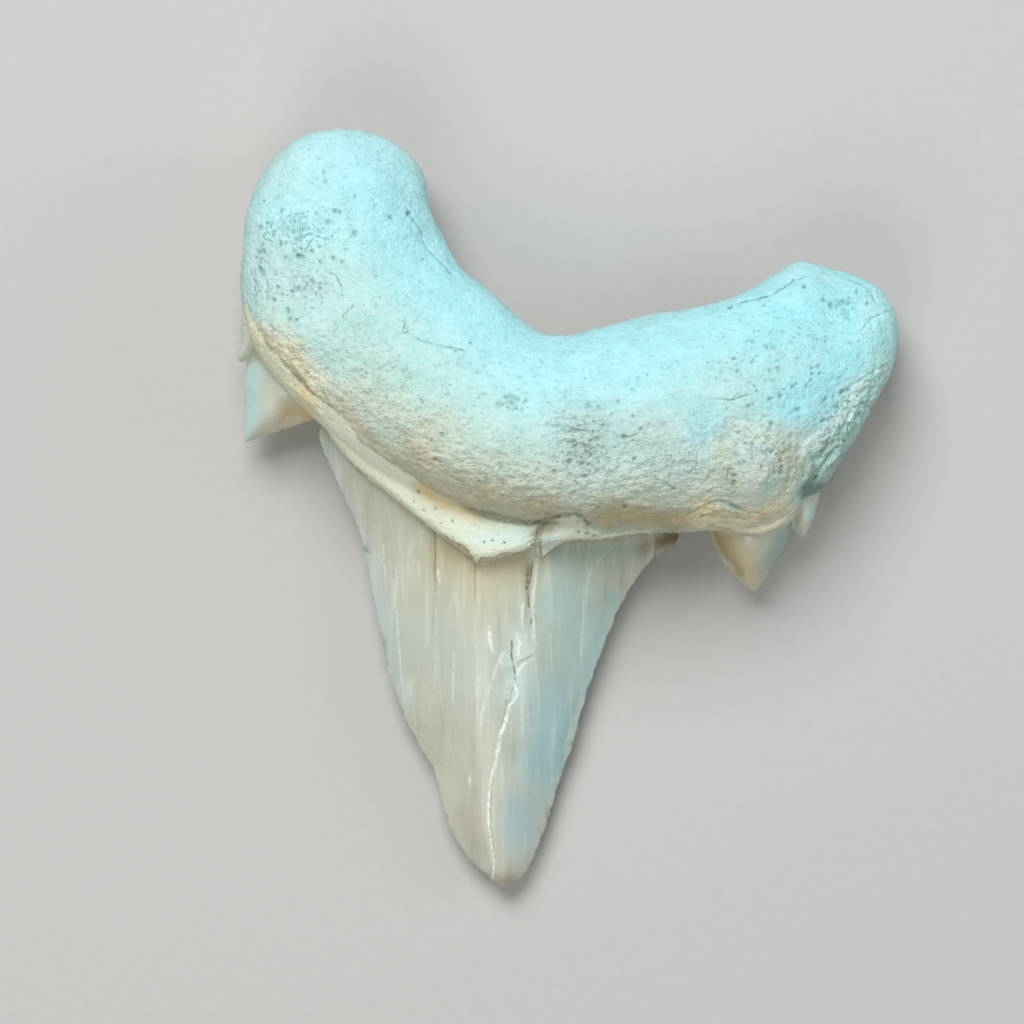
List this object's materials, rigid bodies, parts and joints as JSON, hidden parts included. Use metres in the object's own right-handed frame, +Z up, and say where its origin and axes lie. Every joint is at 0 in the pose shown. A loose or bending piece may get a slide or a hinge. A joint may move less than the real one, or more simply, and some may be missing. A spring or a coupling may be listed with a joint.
{
  "type": "fossil shark tooth",
  "caption": "Fossil shark tooth lying flat: a thick, notched, lobed root, a tall smooth blade-like crown that leans to one side, and small pointed cusplets on each shoulder.",
  "frame": {"origin": "on the resting surface, under the middle of the tooth's box", "axes": "+X across the root, towards its lower lobe; +Y from the crown's tip towards the root, the longest extent; +Z up, from the flatter outer face it lies on to the bulging inner face"},
  "size_m": [0.0596, 0.0688, 0.0188],
  "materials": {
    "tooth": "mineralised bone and enamel: a matt, pitted, pale blue-grey to cream root, and a glossy, streaked, grey to tan crown with fine cracks"
  },
  "bodies": {
    "root": {"tooth": "tooth"}
  },
  "joints": []
}
